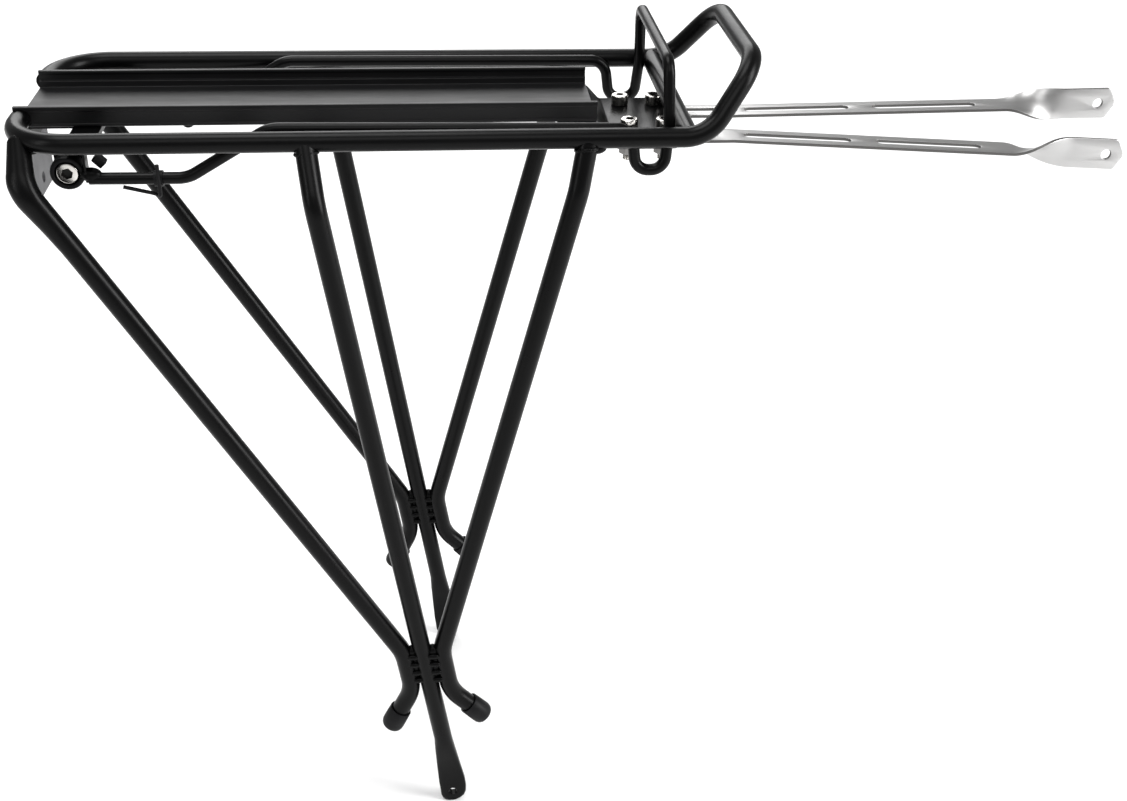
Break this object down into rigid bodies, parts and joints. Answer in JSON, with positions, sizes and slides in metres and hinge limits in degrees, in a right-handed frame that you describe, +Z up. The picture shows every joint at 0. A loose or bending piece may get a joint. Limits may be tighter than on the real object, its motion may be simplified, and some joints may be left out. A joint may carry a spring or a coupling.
{
  "type": "rear bicycle rack",
  "caption": "Tubular rear luggage rack with a channelled deck, raised guard rod and front hoop, splayed side legs, a rear light plate and slotted sliding stays.",
  "frame": {"origin": "midpoint between the two dropout eyelet holes at the feet", "axes": "+X forward along the bicycle, +Y to the rider's left, +Z up"},
  "size_m": [0.5542, 0.1626, 0.4384],
  "materials": {
    "frame_paint": "semi-gloss black coat on tube",
    "deck_satin": "satin black coat on sheet",
    "light_plate_metal": "satin dark grey",
    "stainless": "bright, lightly brushed",
    "stay_steel": "polished lengthways",
    "black_plastic": "fine matte"
  },
  "bodies": {
    "frame": {"ring_tube": "frame_paint", "cross_tube": "frame_paint", "guard_rod": "frame_paint", "leg_front_right": "frame_paint", "leg_front_left": "frame_paint", "leg_middle_right": "frame_paint", "leg_middle_left": "frame_paint", "leg_rear_right": "frame_paint", "leg_rear_left": "frame_paint", "cap_front_right": "black_plastic", "cap_front_left": "black_plastic", "cap_rear_right": "black_plastic", "cap_rear_left": "black_plastic", "deck_plate": "deck_satin", "front_plate": "frame_paint", "boss_bracket": "frame_paint", "light_plate": "light_plate_metal", "stay_bolt_right_rear": "stainless", "stay_nut_right_rear": "stainless", "stay_bolt_right_front": "stainless", "stay_nut_right_front": "stainless", "clamp_bar_right": "deck_satin", "boss_cup_right": "black_plastic", "boss_screw_right": "stainless", "rod_strap_right": "frame_paint", "stop_lug_right": "black_plastic", "stay_bolt_left_rear": "stainless", "stay_nut_left_rear": "stainless", "stay_bolt_left_front": "stainless", "stay_nut_left_front": "stainless", "clamp_bar_left": "deck_satin", "boss_cup_left": "black_plastic", "boss_screw_left": "stainless", "rod_strap_left": "frame_paint", "stop_lug_left": "black_plastic", "cable_clip": "black_plastic"},
    "stay_right": {"stay_right": "stay_steel"},
    "stay_left": {"stay_left": "stay_steel"}
  },
  "joints": [
    {"name": "stay_right_slide", "type": "slide", "parent": "frame", "child": "stay_right", "axis": [1, 0, 0], "range_m": [-0.022, 0.0074]},
    {"name": "stay_left_slide", "type": "slide", "parent": "frame", "child": "stay_left", "axis": [1, 0, 0], "range_m": [-0.03, 0]}
  ]
}
